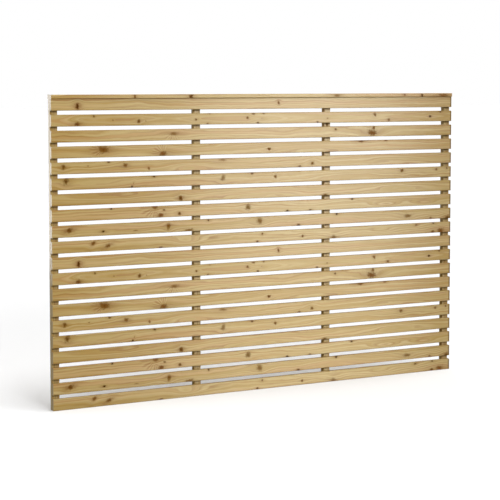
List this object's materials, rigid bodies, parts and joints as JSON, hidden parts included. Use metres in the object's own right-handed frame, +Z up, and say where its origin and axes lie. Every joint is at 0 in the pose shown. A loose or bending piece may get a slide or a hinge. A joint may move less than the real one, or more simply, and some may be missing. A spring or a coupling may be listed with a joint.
{
  "type": "slatted fence panel",
  "caption": "Flat timber fence panel of level planed slats with even gaps, on upright battens behind, under a flat top cap; fixed between posts as a garden boundary or screen.",
  "frame": {"origin": "on the ground under the panel's middle, halfway along its length and halfway through its depth", "axes": "+X along the slats, to the right as seen from the front; +Y from the slatted front to the battens at the back; +Z up"},
  "size_m": [1.8, 0.045, 1.2],
  "materials": {
    "slat_timber": "planed pressure-treated softwood, satin, with knots",
    "batten_timber": "planed pressure-treated softwood, matt",
    "staple_wire": "galvanised wire"
  },
  "bodies": {
    "root": {"slat_01": "slat_timber", "slat_02": "slat_timber", "slat_03": "slat_timber", "slat_04": "slat_timber", "slat_05": "slat_timber", "slat_06": "slat_timber", "slat_07": "slat_timber", "slat_08": "slat_timber", "slat_09": "slat_timber", "slat_10": "slat_timber", "slat_11": "slat_timber", "slat_12": "slat_timber", "slat_13": "slat_timber", "slat_14": "slat_timber", "slat_15": "slat_timber", "slat_16": "slat_timber", "slat_17": "slat_timber", "slat_18": "slat_timber", "slat_19": "slat_timber", "slat_20": "slat_timber", "top_cap": "slat_timber", "left_end_batten": "batten_timber", "left_middle_batten": "batten_timber", "right_middle_batten": "batten_timber", "right_end_batten": "batten_timber", "left_end_staples": "staple_wire", "left_middle_staples": "staple_wire", "right_middle_staples": "staple_wire", "right_end_staples": "staple_wire", "cap_staples": "staple_wire"}
  },
  "joints": []
}
